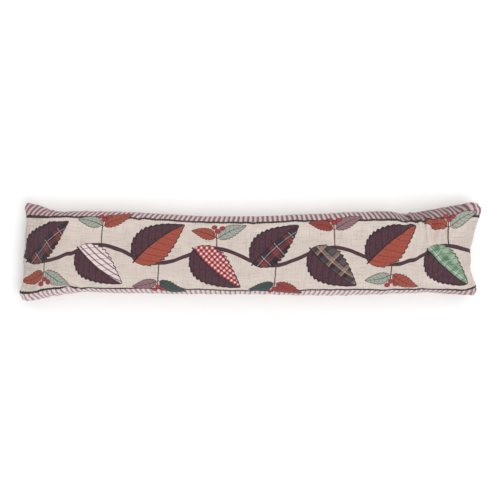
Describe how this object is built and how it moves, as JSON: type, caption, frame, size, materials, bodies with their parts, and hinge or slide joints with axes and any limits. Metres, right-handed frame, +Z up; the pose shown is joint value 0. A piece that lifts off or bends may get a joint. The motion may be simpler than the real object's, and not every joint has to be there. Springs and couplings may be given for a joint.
{
  "type": "draught excluder",
  "caption": "Long stuffed cloth cushion that lies along the foot of a door or window to stop draughts.",
  "frame": {"origin": "on the resting surface, under the middle of the cushion's footprint", "axes": "+X along the length, +Y across to the far long seam, +Z up out of the printed face"},
  "size_m": [0.9016, 0.195, 0.0926],
  "materials": {
    "printed_cloth": "cream linen-look cotton, printed, matt"
  },
  "bodies": {
    "root": {"cushion": "printed_cloth"}
  },
  "joints": []
}
